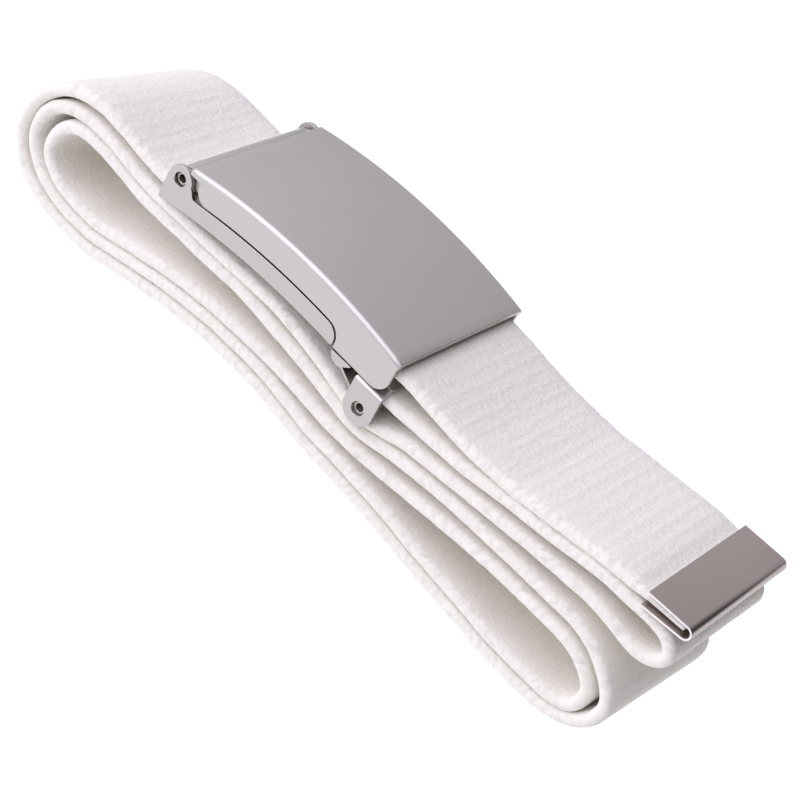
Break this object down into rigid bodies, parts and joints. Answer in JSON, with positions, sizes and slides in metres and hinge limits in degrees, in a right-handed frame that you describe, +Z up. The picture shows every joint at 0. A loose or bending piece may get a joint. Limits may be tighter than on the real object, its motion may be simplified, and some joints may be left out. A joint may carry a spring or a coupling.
{
  "type": "canvas web belt with flip-top lever buckle",
  "caption": "Ribbed canvas web belt folded to and fro into a flat stack, with a hinged lever buckle and a metal tip.",
  "frame": {"origin": "under the middle of the folded stack, on the surface that it lies on", "axes": "+X along the stack from the outermost fold to the metal tip, +Y across the web away from the side that the picture shows, +Z up"},
  "size_m": [0.1848, 0.0414, 0.0436],
  "materials": {
    "cotton_web": "woven cotton, ribbed across, matt, soft edges",
    "satin_nickel": "satin nickel plate with brighter rims",
    "bright_nickel": "polished nickel plate",
    "dark_nickel": "smooth grey-brown plate, satin"
  },
  "bodies": {
    "belt": {"webbing": "cotton_web", "buckle_frame": "bright_nickel", "hinge_pin": "bright_nickel", "clamp_lever": "bright_nickel", "clamp_pin": "bright_nickel", "tip": "dark_nickel"},
    "lid": {"lid": "satin_nickel", "gripper": "dark_nickel"}
  },
  "joints": [
    {"name": "lid_hinge", "type": "hinge", "parent": "belt", "child": "lid", "pos_m": [-0.04751, 0, 0.03565], "axis": [0, -1, 0], "range_deg": [0, 105]}
  ]
}
